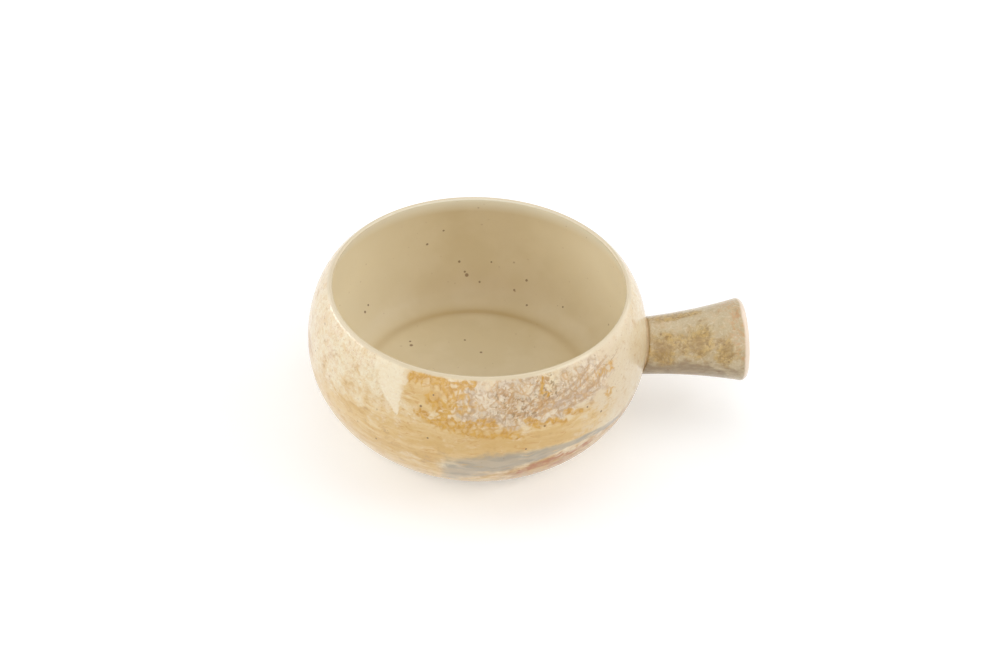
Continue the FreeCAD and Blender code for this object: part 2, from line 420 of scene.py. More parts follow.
def make_liner_coat():
    """The liner glaze: from the floor's middle up to the lip's inner edge, and back along the clay."""
    out = OUTLINE.rows(0.0, LIP_INSIDE, 0.9)[:, None] + 0 * ROUND
    back = way_back(out, 3)
    points = np.concatenate([swept(out, 0.0), swept(back, clay_depth(back))])
    return ring_mesh("liner_glaze_coat", points[::-1], False)


def make_recess_coat():
    """The glaze under the bowl, inside the foot ring, and back along the clay."""
    out = lengths_from_line(GLAZE_LINE_RECESS, waver(2.5), OUTLINE_END, 0.9)[::-1]
    back = way_back(out, 2)[1:]
    points = np.concatenate([swept(out, coat_depth(out)), swept(back, clay_depth(back))])
    return ring_mesh("recess_glaze_coat", points, False)


# ---------------------------------------------------------------- the handle and its groove

HANDLE_ROUND = np.linspace(-math.pi, math.pi, HANDLE_TURNS, endpoint=False)
ALONG = np.array([math.cos(HANDLE_TILT), 0.0, math.sin(HANDLE_TILT)])
ACROSS = np.array([-math.sin(HANDLE_TILT), 0.0, math.cos(HANDLE_TILT)])
SIDE = np.array([0.0, -1.0, 0.0])

MIDDLE_RUN = HANDLE_FLARE_INSET + HANDLE_LENGTH - HANDLE_WALL / 2
MIDDLE_ARC = (MIDDLE_RUN**2 + HANDLE_FLARE**2) / (2 * HANDLE_FLARE)
FLARE_ANGLE = math.asin(MIDDLE_RUN / MIDDLE_ARC)
FLARE_CENTRE = HANDLE_ROOT_RADIUS - HANDLE_WALL / 2 + MIDDLE_ARC  # its distance from the axis


def handle_point(along, radius):
    """The point this far along the handle's axis and this far from it, at every turn round it."""
    way = np.cos(HANDLE_ROUND)[:, None] * ACROSS + np.sin(HANDLE_ROUND)[:, None] * SIDE
    along = np.asarray(along)[..., None]
    radius = np.asarray(radius)[..., None]
    return HANDLE_START + along * ALONG + radius * way


def flare_radius(along, inward):
    """The radius of the flared wall at a place along the axis, this far in from its outer face.

    The wall is an arc about a far centre: that centre's distance less the root of the arc's
    radius squared less the place squared.
    """
    size = MIDDLE_ARC - HANDLE_WALL / 2 + inward
    return FLARE_CENTRE - np.sqrt(size**2 - (along + HANDLE_FLARE_INSET) ** 2)


def outside_belly(at, growth):
    """Above 0 where a point lies outside the belly grown by this much, under 0 inside it."""
    radius = np.hypot(at[..., 0], at[..., 1])
    rise = at[..., 2] - BELLY_HEIGHT
    lower = np.hypot(radius / (BELLY_RADIUS + growth), rise / (LOWER_UPRIGHT + growth))
    lean = (radius - BELLY_RADIUS + SHOULDER_WIDTH) / (SHOULDER_WIDTH + growth)
    upper = np.hypot(lean, rise / (SHOULDER_UPRIGHT + growth))
    return np.where(rise < 0, lower, upper) - 1


def reach_of_belly(radius_at, growth):
    """How far along the axis a wall meets the grown belly, at every turn, by halving a range."""
    low = np.full(HANDLE_TURNS, -9.0)
    high = np.full(HANDLE_TURNS, 9.0)
    for _ in range(40):
        middle = (low + high) / 2
        beyond = outside_belly(handle_point(middle, radius_at(middle)), growth) > 0
        high = np.where(beyond, middle, high)
        low = np.where(beyond, low, middle)
    return (low + high) / 2


def make_handle():
    """The hollow handle: outer wall, rounded far edge, inner wall, root face and rounded root edge.

    Each wall is a grid between where it meets the belly and the far edge. The root edge is a
    conic through both faces' points one round away from their corner, bent towards the corner.
    """
    far = MIDDLE_RUN - HANDLE_FLARE_INSET
    outer_far = far - HANDLE_WALL / 2 * math.sin(FLARE_ANGLE)
    inner_far = far + HANDLE_WALL / 2 * math.sin(FLARE_ANGLE)
    outer_root = reach_of_belly(lambda a: flare_radius(a, 0.0), SLIP_THICKNESS)
    inner_root = reach_of_belly(lambda a: flare_radius(a, HANDLE_WALL), SLIP_THICKNESS)

    share = np.linspace(0, 1, 56)[:, None]
    outer_along = (outer_root + HANDLE_ROOT_ROUND) * (1 - share) + outer_far * share
    outer = handle_point(outer_along, flare_radius(outer_along, 0.0))
    inner_along = (inner_far * (1 - share) + inner_root * share)[::2]
    inner = handle_point(inner_along, flare_radius(inner_along, HANDLE_WALL))

    bend = np.linspace(0, math.pi, 22)[1:-1, None] + 0 * HANDLE_ROUND
    edge_along = far + HANDLE_WALL / 2 * (
        np.sin(bend) * math.cos(FLARE_ANGLE) - np.cos(bend) * math.sin(FLARE_ANGLE)
    )
    edge_radius = HANDLE_ROOT_RADIUS - HANDLE_WALL / 2 + HANDLE_FLARE + HANDLE_WALL / 2 * (
        np.cos(bend) * math.cos(FLARE_ANGLE) + np.sin(bend) * math.sin(FLARE_ANGLE)
    )
    edge = handle_point(edge_along, edge_radius)

    corner = handle_point(outer_root, flare_radius(outer_root, 0.0))
    rim = flare_radius(outer_root, 0.0) - HANDLE_ROOT_ROUND
    hole = flare_radius(inner_root, HANDLE_WALL)
    faces = []
    for part in np.linspace(1, 0, 7)[1:]:
        radius = hole * part + rim * (1 - part)
        faces.append(handle_point(reach_of_belly(lambda a: radius + 0 * a, SLIP_THICKNESS), radius))
    face = np.stack(faces)

    t = np.linspace(0, 1, 9)[1:-1, None, None]
    weight = math.sqrt(0.5)
    whole = (1 - t) ** 2 + 2 * weight * t * (1 - t) + t**2
    round_edge = ((1 - t) ** 2 * face[-1] + 2 * weight * t * (1 - t) * corner + t**2 * outer[0]) / whole
    points = np.concatenate([outer, edge, inner, face, round_edge])
    return ring_mesh("handle_glazed", points, True)


def groove_row(share, inward, lift=0.0):
    """A row of the groove's points, from just inside the bowl at 0 to just inside the handle at 1."""
    growth = -SLIP_OVERLAP + (SLIP_THICKNESS + 2 * SLIP_OVERLAP) * share
    place = reach_of_belly(lambda a: flare_radius(a, inward) + lift, growth)
    return handle_point(place, flare_radius(place, inward) + lift)


def make_groove():
    """The ring of slip and pooled glaze at the handle's root, hollowed like a meniscus outside.

    Its outer face rises at both sides by the square of the distance from its middle line.
    """
    rows = [
        groove_row(share, SLIP_SET_BACK, SLIP_RISE * (2 * share - 1) ** 2) for share in np.linspace(0, 1, 9)
    ]
    rows += [groove_row(share, HANDLE_WALL) for share in (1.0, 0.5, 0.0)]
    return ring_mesh("handle_groove", np.stack(rows), True)


# ---------------------------------------------------------------- materials


def paint(red, green, blue):
    """A colour given as 0 to 255 on a screen, as the linear colour that shows so."""
    share = np.array([red, green, blue]) / 255
    linear = np.where(share < 0.04045, share / 12.92, ((share + 0.055) / 1.055) ** 2.4)
    return (*linear, 1.0)


RIDGE = 0.03  # how far from its middle a noise still shows as a thin line


class Finish:
    """A material being mixed. Its functions add a node or two, and take sockets or plain values."""

    def __init__(self, name):
        self.material = bpy.data.materials.new(name)
        self.material.use_nodes = True
        self.nodes = self.material.node_tree.nodes
        self.links = self.material.node_tree.links
        self.shader = self.nodes["Principled BSDF"]
        place = self.nodes.new("ShaderNodeTexCoord").outputs["Object"]
        self.place = self.stretch(place, (1000, 1000, 1000))  # in millimetres

    def put(self, socket, value):
        if isinstance(value, bpy.types.NodeSocket):
            self.links.new(value, socket)
        else:
            socket.default_value = value

    def add(self, kind, values, **settings):
        """The outputs of a new node that has these settings, and these values in its inputs."""
        node = self.nodes.new("ShaderNode" + kind)
        for name, setting in settings.items():
            setattr(node, name, setting)
        for socket, value in values.items():
            self.put(node.inputs[socket], value)
        return node.outputs

    def sum(self, kind, first, second=0.0, third=0.0):
        return self.add("Math", {0: first, 1: second, 2: third}, operation=kind)[0]

    def times(self, first, second):
        return self.sum("MULTIPLY", first, second)

    def step(self, value, low, high, start=0.0, end=1.0):
        """start under low, end over high, and a smooth step between."""
        values = {0: value, 1: low, 2: high, 3: start, 4: end}
        return self.add("MapRange", values, interpolation_type="SMOOTHSTEP")[0]

    def stretch(self, vector, sizes):
        return self.add("VectorMath", {0: vector, 1: sizes}, operation="MULTIPLY")[0]

    def push(self, vector, amount, fineness):
        """The vector with a noise of this fineness, times the amount, added to it."""
        noise = self.add("TexNoise", {"Scale": fineness, "Detail": 2.0, "Vector": vector})["Color"]
        return self.add("VectorMath", {0: noise, 1: (amount,) * 3, 2: vector}, operation="MULTIPLY_ADD")[0]

    def layers(self, vector, length, climb=0.0, toward=0.0):
        """The vector drawn out along level planes, or along planes that climb past this turn.

        The planes climb at this angle where the turn is toward, and fall as much on the far side.
        """
        rotation = (0, -math.radians(climb), math.radians(toward))
        values = {"Vector": vector, "Rotation": rotation, "Scale": (length, length, 1)}
        return self.add("Mapping", values, vector_type="TEXTURE")[0]

    def noise(self, vector, fineness, detail=3.0, roughness=0.55):
        values = {"Vector": vector, "Scale": fineness, "Detail": detail, "Roughness": roughness}
        return self.add("TexNoise", values)["Fac"]

    def clouds(self, vector, fineness, low=0.38, high=0.62, detail=3.0):
        """Soft patches of a noise, from 0 to 1."""
        return self.step(self.noise(vector, fineness, detail), low, high)

    def ridges(self, vector, fineness, detail):
        """Thin lines where a noise passes its middle: 1 on the line, 0 where it is RIDGE off."""
        off = self.sum("ABSOLUTE", self.sum("SUBTRACT", self.noise(vector, fineness, detail), 0.5))
        return self.step(off, 0.0, RIDGE, 1.0, 0.0)

    def specks(self, vector, fineness, size, share):
        """Small round dots: the middles of some cells, chosen by the cell's random colour."""
        cell = self.add("TexVoronoi", {"Vector": vector, "Scale": fineness})
        pick, wide, deep = self.add("SeparateColor", {0: cell["Color"]})
        chosen = self.sum("LESS_THAN", pick, share)
        girth = self.sum("MULTIPLY_ADD", wide, size * fineness, size * fineness * 0.5)
        dot = self.step(self.sum("DIVIDE", cell["Distance"], girth), 0.4, 1.0, 1.0, 0.0)
        strength = self.sum("MULTIPLY_ADD", deep, 0.7, 0.3)
        return self.times(self.times(dot, chosen), strength)

    def pebbles(self, vector, fineness, width):
        """Rounded cells: the lines between them, this many millimetres wide each side, and a tint.

        The tint is a number from 0 to 1 that each cell has for itself.
        """
        values = {"Vector": vector, "Scale": fineness}
        edge = self.add("TexVoronoi", values, feature="DISTANCE_TO_EDGE")["Distance"]
        tint = self.add("SeparateColor", {0: self.add("TexVoronoi", values)["Color"]})[0]
        return self.step(edge, 0.0, width * fineness, 1.0, 0.0), tint

    def dots(self, spots):
        """Round dots: 1 inside and 0 past the edge of any of these spots, each (middle, radius)."""
        found = 0.0
        for middle, size in spots:
            away = self.add("VectorMath", {0: self.place, 1: middle}, operation="DISTANCE")["Value"]
            found = self.sum("MAXIMUM", found, self.step(away, size * 0.5, size, 1.0, 0.0))
        return found

    def read(self, name, output="Fac"):
        """What a piece's points are marked with under this name."""
        return self.add("Attribute", {}, attribute_name=name)[output]

    def over(self, share, under, top):
        """The top colour laid over the one under it, where share is 1."""
        return self.add("Mix", {"Factor": share, "A": under, "B": top}, data_type="RGBA")["Result"]

    def blend(self, share, first, second):
        """From one screen colour to another, as share goes from 0 to 1."""
        return self.over(share, paint(*first), paint(*second))

    def lay(self, under, share, strength, *screen):
        """A screen colour laid over the one under it, at this strength where share is 1."""
        return self.over(self.times(share, strength), under, paint(*screen))

    def dapple(self, under, strength, screen, *cloud):
        """Clouds of a screen colour laid over the one under them, at this strength."""
        return self.lay(under, self.clouds(*cloud), strength, *screen)

    def bump(self, height, depth, before=None):
        """A bump of this height field, whose 0 to 1 is the depth in millimetres."""
        values = {"Strength": 1.0, "Distance": depth * MM, "Height": height}
        if before is not None:
            values["Normal"] = before
        return self.add("Bump", values)[0]


def glaze_surface(finish, weight, gloss, peel, swell):
    """Gloss like fused glass: slow swells, a fine orange peel and a clear coat over the colour."""
    slow = finish.bump(finish.noise(finish.place, 0.07, 2.0), swell)
    fine = finish.bump(finish.noise(finish.place, 0.9, 2.0), peel, slow)
    finish.put(finish.shader.inputs["Normal"], fine)
    finish.put(finish.shader.inputs["Coat Normal"], fine)
    finish.shader.inputs["IOR"].default_value = 1.45
    finish.shader.inputs["Coat Weight"].default_value = weight
    finish.shader.inputs["Coat Roughness"].default_value = gloss
    finish.shader.inputs["Coat IOR"].default_value = 1.45


class Glaze(Finish):
    """A reactive glaze being mixed: the same wandering coordinates serve all its layers."""

    def __init__(self, name, ware, length):
        super().__init__(name)
        ware = self.read(ware, "Vector")
        self.broad = self.push(ware, 4.0, 0.1)
        self.loose = self.push(self.broad, 0.9, 0.5)
        self.short = self.layers(self.loose, 2.0)
        self.level = self.layers(self.loose, length)
        self.rising = self.layers(self.loose, length, 7, 32)
        slow = self.sum("MULTIPLY_ADD", self.noise(self.broad, 0.16, 3.0), 1.6, -0.8)
        quick = self.sum("MULTIPLY_ADD", self.noise(self.short, 0.6, 2.0), 0.9, -0.45)
        self.edge = self.sum("ADD", slow, quick)  # about -0.5 to 0.5, frays the edge of every layer

    def zone(self, name, low=0.2, high=0.8, fray=1.0):
        """How much of a marked zone shows: its mark with a frayed edge, from 0 to 1."""
        return self.step(self.sum("MULTIPLY_ADD", self.edge, fray, self.read(name)), low, high)


def ivory_ground(f):
    """Warm cream in slow clouds, with short honey strokes, pale dabs and fine freckles."""
    colour = f.blend(f.clouds(f.broad, 0.05), (241, 226, 193), (236, 215, 176))
    colour = f.dapple(colour, 0.5, (238, 211, 178), f.loose, 0.14, 0.48, 0.68)
    colour = f.dapple(colour, 0.4, (232, 203, 152), f.loose, 0.3, 0.48, 0.62)
    colour = f.dapple(colour, 0.5, (228, 197, 140), f.short, 0.75, 0.48, 0.64)
    colour = f.dapple(colour, 0.4, (248, 238, 214), f.loose, 0.9, 0.52, 0.64)
    colour = f.dapple(colour, 0.32, (212, 172, 120), f.loose, 1.5, 0.57, 0.68)
    squiggle = f.times(f.ridges(f.loose, 0.45, 2.0), f.clouds(f.broad, 0.16, 0.48, 0.58))
    colour = f.lay(colour, squiggle, 0.4, 216, 172, 138)
    # Darker, greyer cream over the right front and the back.
    colour = f.lay(colour, f.read("darker_cream_patches"), 0.7, 220, 200, 166)
    return f.dapple(colour, 0.5, (190, 150, 112), f.short, 1.6, 0.6, 0.7)


def honey_layer(f, colour):
    """Honey to ochre, with soft streaks round the bowl and thin orange lines."""
    share = f.zone("honey", 0.1, 1.0)
    honey = f.blend(f.clouds(f.level, 0.3, 0.38, 0.62, 2.0), (229, 196, 135), (219, 180, 110))
    honey = f.dapple(honey, 0.35, (209, 160, 84), f.short, 0.8, 0.5, 0.66)
    honey = f.dapple(honey, 0.35, (238, 214, 166), f.level, 0.7, 0.52, 0.68, 2.0)
    honey = f.lay(honey, f.read("deep_honey"), 0.6, 209, 166, 88)
    colour = f.over(f.times(share, 0.92), colour, honey)
    streak = f.times(f.ridges(f.level, 0.45, 2.0), f.clouds(f.broad, 0.2, 0.45, 0.6))
    return f.lay(colour, f.times(streak, share), 0.6, 202, 144, 66)


def ochre_layer(f, colour):
    """Ochre veins that run together in a net, worn through to paler islands."""
    lines, _ = f.pebbles(f.loose, 0.38, 0.85)
    filled = f.times(f.read("ochre"), f.sum("MULTIPLY_ADD", lines, 0.6, 0.7))
    share = f.step(f.sum("MULTIPLY_ADD", f.edge, 0.5, filled), 0.45, 1.05)
    worn = f.step(f.noise(f.loose, 0.9, 2.0), 0.34, 0.56, 0.55, 1.0)
    tint = f.blend(f.clouds(f.loose, 0.5, 0.4, 0.6), (214, 163, 62), (200, 145, 44))
    return f.over(f.times(f.times(share, worn), 0.95), colour, tint)


def lilac_layer(f, colour):
    """Lilac-cream pebbles, each in its own tint, in a broken net of ochre and brown veins."""
    share = f.zone("lilac", 0.2, 0.7, 0.7)
    lines, tint = f.pebbles(f.loose, 0.42, 0.7)
    pebble = f.blend(f.step(tint, 0.1, 0.9), (234, 217, 190), (212, 192, 166))
    pebble = f.dapple(pebble, 0.5, (222, 190, 136), f.broad, 0.4, 0.5, 0.62)
    pebble = f.dapple(pebble, 0.4, (238, 225, 200), f.loose, 1.1, 0.5, 0.66)
    colour = f.over(f.times(share, 0.9), colour, pebble)
    fine, _ = f.pebbles(f.loose, 0.75, 0.32)
    fine = f.times(fine, f.clouds(f.loose, 0.35, 0.46, 0.58))
    net = f.sum("MAXIMUM", f.times(lines, f.clouds(f.loose, 0.5, 0.4, 0.56)), f.times(fine, 0.7))
    vein = f.blend(f.clouds(f.broad, 0.2, 0.42, 0.58), (204, 152, 78), (172, 132, 90))
    return f.over(f.times(f.times(share, net), 0.64), colour, vein)


def brown_net_layer(f, colour):
    """Olive-brown dots and short strokes, close together."""
    share = f.zone("brown_net", 0.3, 0.9, 0.7)
    slanted = f.layers(f.loose, 1.8, 35, 20)
    dots = f.clouds(slanted, 1.0, 0.54, 0.61, 1.0)
    lines, _ = f.pebbles(f.loose, 0.6, 0.4)
    dark = f.sum("MAXIMUM", dots, f.times(f.times(lines, f.clouds(f.loose, 0.6, 0.46, 0.56)), 0.8))
    tint = f.blend(f.clouds(f.loose, 0.4, 0.44, 0.56), (142, 106, 52), (190, 138, 70))
    return f.over(f.times(f.times(share, dark), 0.7), colour, tint)


def vein_layer(f, colour):
    """Bundles of thin mauve-brown veins that climb along the belly."""
    share = f.zone("veined", 0.2, 0.8, 0.6)
    lines = f.ridges(f.rising, 0.36, 1.0)
    lines = f.sum("MAXIMUM", lines, f.times(f.ridges(f.rising, 0.7, 1.0), 0.6))
    colour = f.lay(colour, f.times(share, f.clouds(f.rising, 0.3, 0.4, 0.6)), 0.5, 222, 200, 170)
    return f.lay(colour, f.times(share, lines), 0.75, 170, 130, 98)


def long_vein_layer(f, colour):
    """The longer veins, broken into strokes."""
    share = f.times(f.zone("long_veins", 0.3, 0.8, 0.6), f.clouds(f.short, 0.5, 0.3, 0.5, 2.0))
    tint = f.blend(f.clouds(f.loose, 0.5, 0.4, 0.6), (172, 132, 98), (196, 150, 92))
    return f.over(f.times(share, 0.5), colour, tint)


def grey_layer(f, colour):
    """The grey-blue run, streaked with cream along itself, over rusty spots and a salmon tint."""
    salmon = f.blend(f.clouds(f.level, 0.6, 0.42, 0.6), (198, 150, 62), (174, 116, 22))
    colour = f.over(f.times(f.zone("salmon", 0.1, 0.95), 0.85), colour, salmon)
    spots = f.step(f.noise(f.short, 0.55, 2.0), 0.42, 0.56, 0.45, 1.0)
    colour = f.lay(colour, f.times(f.zone("rust", 0.15, 0.75, 0.8), spots), 0.9, 176, 98, 4)
    grey = f.blend(f.clouds(f.level, 0.4, 0.4, 0.6, 2.0), (184, 170, 147), (162, 153, 137))
    share = f.times(f.zone("grey_run", 0.1, 0.9, 0.6), f.clouds(f.level, 0.5, 0.18, 0.46, 2.0))
    return f.over(f.times(share, 0.88), colour, grey)


def reactive_glaze():
    """Ivory glaze that broke into honey, ochre veins, lilac-cream pebbles and a grey-blue run."""
    f = Glaze("reactive_glaze", "ware", 6)
    ground = ivory_ground(f)
    colour = ground
    for layer in (
        honey_layer, grey_layer, vein_layer, lilac_layer, brown_net_layer, long_vein_layer, ochre_layer,
    ):
        colour = layer(f, colour)
    # An ivory wedge, bare of honey and ochre, with a near-white painted highlight laid over it.
    ivory_wedge_and_highlight = f.zone("ivory_wedge_and_highlight", 0.4, 0.85, 0.8)
    colour = f.over(f.times(ivory_wedge_and_highlight, 0.92), colour, ground)
    colour = f.lay(colour, ivory_wedge_and_highlight, 0.55, 253, 240, 211)
    spots = wall_spots(OUTER_SPECKS, LIP_INSIDE + 2, UNDERSIDE_END)
    colour = f.lay(colour, f.dots(spots), 0.8, 112, 76, 38)
    colour = f.lay(colour, f.specks(f.loose, 0.3, 0.45, 0.3), 0.6, 150, 106, 60)
    colour = f.over(f.zone("plain_lip", 0.2, 1.0, 0.6), colour, paint(227, 210, 177))
    # Painted highlight: near-white along the lip's inner edge, strongest at the back.
    colour = f.over(f.read("painted_lip_highlight"), colour, paint(255, 250, 232))
    f.put(f.shader.inputs["Base Color"], colour)
    f.put(f.shader.inputs["Roughness"], f.step(f.noise(f.broad, 0.3), 0.3, 0.7, 0.3, 0.48))
    glaze_surface(f, 0.7, 0.06, 0.003, 0.05)
    return f.material


def liner_glaze():
    """Plain pale tan glaze of the hollow: soft clouds, a darker ring at the floor's edge and low on the back
    wall (pooled glaze and painted shade), paler side walls (painted light and sheen), a band that pales to
    the rim (thinner glaze and painted light), specks.
    """
    f = Finish("liner_glaze")
    colour = f.blend(f.clouds(f.place, 0.05), (224, 208, 174), (219, 202, 165))
    colour = f.dapple(colour, 0.25, (220, 203, 164), f.place, 0.9, 0.45, 0.7)
    # Painted light and sheen: the hollow's left and right walls laid paler.
    colour = f.lay(colour, f.read("thin"), 0.95, 250, 239, 210)
    # Pooled glaze and painted shade: a darker ring in the crease at the floor's edge, and painted shade low
    # on the back wall.
    colour = f.lay(colour, f.read("pooled"), 0.7, 192, 166, 116)
    # The band under the rim laid near-white: thinner glaze and painted light.
    colour = f.over(f.read("thin_glaze_and_light_near_lip"), colour, paint(255, 252, 236))
    loose = f.push(f.place, 0.6, 1.0)
    colour = f.lay(colour, f.specks(loose, 0.17, 0.5, 0.4), 0.55, 146, 110, 66)
    colour = f.lay(colour, f.specks(loose, 0.3, 0.42, 0.35), 0.4, 166, 132, 88)
    spots = wall_spots(WALL_SPECKS, 0.0, LIP_INSIDE)
    spots += [(turned(turn, radius, FLOOR_HEIGHT), size) for turn, radius, size in FLOOR_SPECKS]
    colour = f.lay(colour, f.dots(spots), 0.75, 112, 74, 36)
    f.put(f.shader.inputs["Base Color"], colour)
    f.put(f.shader.inputs["Roughness"], f.step(f.noise(f.place, 0.25), 0.3, 0.7, 0.42, 0.56))
    glaze_surface(f, 0.3, 0.3, 0.004, 0.04)
    return f.material


def bare_clay():
    """Matt sandy stoneware with grog and iron grains."""
    f = Finish("bare_stoneware")
    grain = f.noise(f.place, 2.2, 4.0, 0.7)
    colour = f.blend(f.step(grain, 0.35, 0.65), (205, 182, 146), (178, 152, 112))
    colour = f.lay(colour, f.specks(f.place, 0.9, 0.3, 0.35), 0.7, 112, 84, 54)
    f.put(f.shader.inputs["Base Color"], colour)
    f.put(f.shader.inputs["Roughness"], f.step(grain, 0.3, 0.7, 0.75, 0.95))
    f.put(f.shader.inputs["Normal"], f.bump(grain, 0.05))
    f.shader.inputs["IOR"].default_value = 1.4
    return f.material


def handle_glaze():
    """The same glaze on the handle, duller: beige with ochre-olive mottles, a rosy far end, a pale lip."""
    f = Glaze("handle_glaze", "shank", 2.5)
    colour = f.blend(f.clouds(f.broad, 0.12), (205, 187, 150), (194, 174, 135))
    colour = f.dapple(colour, 0.4, (214, 184, 140), f.short, 0.6, 0.46, 0.64)
    colour = f.dapple(colour, 0.4, (224, 210, 178), f.loose, 1.0, 0.5, 0.64)
    mauve = f.blend(f.clouds(f.short, 0.6, 0.4, 0.6), (156, 135, 104), (138, 115, 84))
    # Mauve glaze and painted shade: the handle's lower side laid darker.
    colour = f.over(f.times(f.zone("mauve_shaded_underside", 0.1, 0.9), 0.85), colour, mauve)
    ochre = f.blend(f.clouds(f.loose, 0.45, 0.42, 0.58), (200, 166, 94), (170, 136, 72))
    ochre = f.dapple(ochre, 0.5, (214, 192, 144), f.loose, 1.0, 0.52, 0.64)
    share = f.zone("ochre", 0.15, 1.0)
    colour = f.over(f.times(share, 0.88), colour, ochre)
    colour = f.lay(colour, f.times(share, f.clouds(f.loose, 0.8, 0.5, 0.66)), 0.6, 142, 108, 52)
    colour = f.lay(colour, f.zone("deep_ochre", 0.3, 1.0), 0.55, 152, 118, 56)
    rosy = f.times(f.zone("salmon", 0.2, 1.0), f.clouds(f.loose, 0.6, 0.42, 0.66))
    colour = f.lay(colour, rosy, 0.55, 204, 148, 92)
    colour = f.dapple(colour, 0.25, (174, 142, 98), f.loose, 1.6, 0.5, 0.66, 2.0)
    colour = f.over(f.zone("far_lip", 0.2, 0.8, 0.5), colour, paint(242, 222, 199))
    colour = f.lay(colour, f.specks(f.loose, 0.3, 0.5, 0.35), 0.6, 120, 86, 46)
    f.put(f.shader.inputs["Base Color"], colour)
    f.put(f.shader.inputs["Roughness"], f.step(f.noise(f.broad, 0.4), 0.3, 0.7, 0.32, 0.48))
    glaze_surface(f, 0.7, 0.14, 0.004, 0.04)
    return f.material


def groove_glaze():
    """Glaze pooled dark over the slip: tan at the top, red-brown in the middle and below."""
    f = Finish("groove_glaze")
    cloud = f.clouds(f.place, 0.5, 0.35, 0.65)
    top = f.blend(cloud, (206, 181, 142), (216, 193, 156))
    base = f.blend(cloud, (166, 130, 96), (190, 156, 120))
    f.put(f.shader.inputs["Base Color"], f.over(f.read("lower_half"), top, base))
    f.put(f.shader.inputs["Roughness"], f.step(cloud, 0.0, 1.0, 0.3, 0.42))
    glaze_surface(f, 0.7, 0.12, 0.004, 0.03)
    return f.material


# ---------------------------------------------------------------- where the glaze broke, and where light and shade are painted


def patch(turn, height, middle, half, climb=0.0):
    """1 in the middle of a soft oval on the surface, 0 past its edge.

    The oval is middle (turn, height) with these half sizes, sheared up by climb millimetres for
    each degree. Its value falls as 1.5 minus the distance in half sizes, held between 0 and 1.
    """
    along = (turn - middle[0] + 180) % 360 - 180
    rise = height - middle[1] - climb * along
    return np.clip(1.5 - np.hypot(along / half[0], rise / half[1]), 0, 1)


def most(turn, height, patches):
    """The strongest of several patches at each point."""
    return np.max([patch(turn, height, *given) for given in patches], axis=0)


def veins(turn, height, lines):
    """1 along bent lines on the surface, 0 past their edges.

    Each line is its half width in millimetres and then its (turn, height) corners. The value
    falls as 1.5 minus the distance from the nearest stretch in half widths, held between 0 and 1.
    """
    value = np.zeros(len(turn))
    for half, *corners in lines:
        for start, end in zip(corners, corners[1:]):
            run = np.array([(end[0] - start[0]) * MM_PER_DEGREE, end[1] - start[1]])
            along = ((turn - start[0] + 180) % 360 - 180) * MM_PER_DEGREE
            rise = height - start[1]
            share = np.clip((along * run[0] + rise * run[1]) / (run @ run), 0, 1)
            off = np.hypot(along - share * run[0], rise - share * run[1])
            value = np.maximum(value, np.clip(1.5 - off / half, 0, 1))
    return value


def ribbon(turn, height, top, droop, ends, knee, wide, narrow):
    """1 along a bowed band round the bowl, 0 past its edges and its ends.

    Its middle line is at the height of top (turn, height) less droop times the square of the
    turn's distance from it. Its half width goes evenly from wide at the first end to narrow at
    the knee's turn, and stays so to the other end.
    """
    along = (turn - top[0] + 180) % 360 - 180
    place = along + top[0]
    half = wide + (narrow - wide) * np.clip((place - ends[0]) / (knee - ends[0]), 0, 1)
    off = np.abs(height - top[1] + droop * along**2) / half
    inside = ease(place, ends[0] - 4, ends[0] + 4) * (1 - ease(place, ends[1] - 8, ends[1] + 8))
    return np.clip(1.5 - off, 0, 1) * inside


# Soft ovals of the bowl's glaze, as patch() takes them, by the name of their mark.
PATCHES = {
    "darker_cream_patches": [((50, 48), (25, 24)), ((-160, 50), (30, 16))],
    "deep_honey": [
        ((2, 36), (24, 7), -0.04), ((-20, 28), (14, 4)), ((160, 38), (20, 6)), ((-146, 26), (12, 4)),
    ],
    "lilac": [
        ((-3, 53), (7, 7)), ((8, 53), (14, 8.5)), ((22, 50), (10, 6)), ((34, 54), (12, 6)),
        ((120, 50), (18, 9)), ((-140, 48), (20, 8)),
    ],
    "brown_net": [
        ((21, 55.5), (6, 5.5)), ((11, 51), (9, 5)), ((6, 56), (4, 4)), ((112, 53), (9, 5)),
        ((-146, 52), (7, 5)),
    ],
    "veined": [((28, 50.5), (18, 3.6), 0.06), ((40, 54), (12, 4), 0.15), ((138, 44), (20, 6), 0.1)],
    "salmon": [((28, 17), (28, 9)), ((56, 24), (14, 5)), ((-84, 40), (8, 4)), ((-160, 22), (14, 2.2), 0.12)],
}
HONEY = [
    ((-20, 55), (10, 8)), ((-12, 37), (36, 12)), ((20, 37), (24, 8)), ((-48, 29), (30, 14)),
    ((-24, 17), (34, 9)), ((168, 44), (34, 13), 0.1), ((-150, 24), (26, 10)),
    ((112, 26), (24, 10), -0.1), ((-112, 20), (18, 8)),
]
HONEY_WASHES = [((-44, 45), (14, 8)), ((-66, 36), (14, 10))]
OCHRE_CLOUDS = [
    ((-9, 54), (7, 6)), ((-20, 58.5), (7, 2.5)), ((-3, 43.6), (18, 3.6), -0.06), ((46, 45), (4, 2)),
    ((46, 54), (7, 2.5)), ((156, 50), (18, 6)),
]
# The hollow's left and right walls, laid paler as painted light and sheen.
SIDE_WALL_LIGHT_PATCHES = [((-108, 42), (44, 26)), ((106, 46), (40, 20))]

# The same on the handle: the way round it from its top towards the front, and the way along it.
HANDLE_OCHRE = [
    ((60, 6.5), (34, 5.5)), ((52, 14), (20, 4)), ((50, 20.5), (32, 5.5)), ((68, 30), (24, 4.5)),
    ((-12, 8), (14, 7)), ((-8, 17), (10, 5)), ((-70, 12), (34, 8)), ((-110, 26), (34, 7)),
    ((170, 16), (40, 8)),
]
HANDLE_DEEP_OCHRE = [((60, 6), (22, 3.4)), ((56, 18.5), (16, 3.6)), ((66, 31), (12, 2.6))]
HANDLE_SALMON = [((40, 36), (46, 5)), ((-14, 33), (26, 4)), ((-120, 35), (60, 4))]

